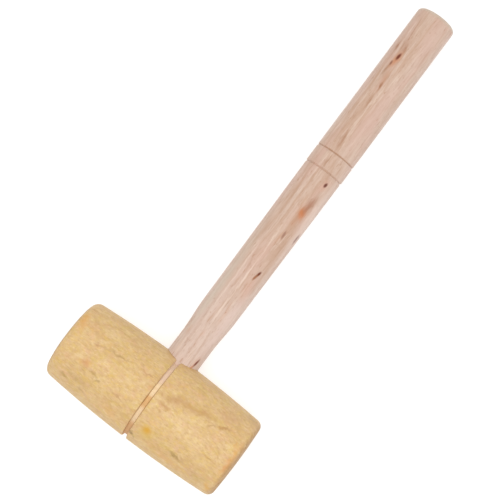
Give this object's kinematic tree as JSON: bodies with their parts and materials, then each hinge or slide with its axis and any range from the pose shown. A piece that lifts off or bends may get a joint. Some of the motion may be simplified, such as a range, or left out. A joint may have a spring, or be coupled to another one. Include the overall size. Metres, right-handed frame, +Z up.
{
  "type": "carving mallet",
  "caption": "Turned wooden carving mallet: a barrel-shaped head with a flat striking face at each end and a round handle fixed in its side.",
  "frame": {"origin": "on the surface that the mallet lies on, under the middle of its bounding box", "axes": "+X along the head's axis towards its larger face, +Y from the head towards the handle's end, +Z up. The mallet lies on its side, with the head's belly and the end of the handle touching the surface, so the handle slopes down by about 3.2 degrees towards +Y"},
  "size_m": [0.13, 0.3282, 0.06],
  "materials": {
    "head_wood": "smooth turned wood, thin clear finish",
    "handle_wood": "smooth turned wood, nearly bare",
    "wedge_wood": "sawn bare wood",
    "dried_glue": "dried wood glue, translucent tan"
  },
  "bodies": {
    "root": {"barrel_head": "head_wood", "handle": "handle_wood", "fox_wedge": "wedge_wood", "glue_line": "dried_glue"}
  },
  "joints": []
}
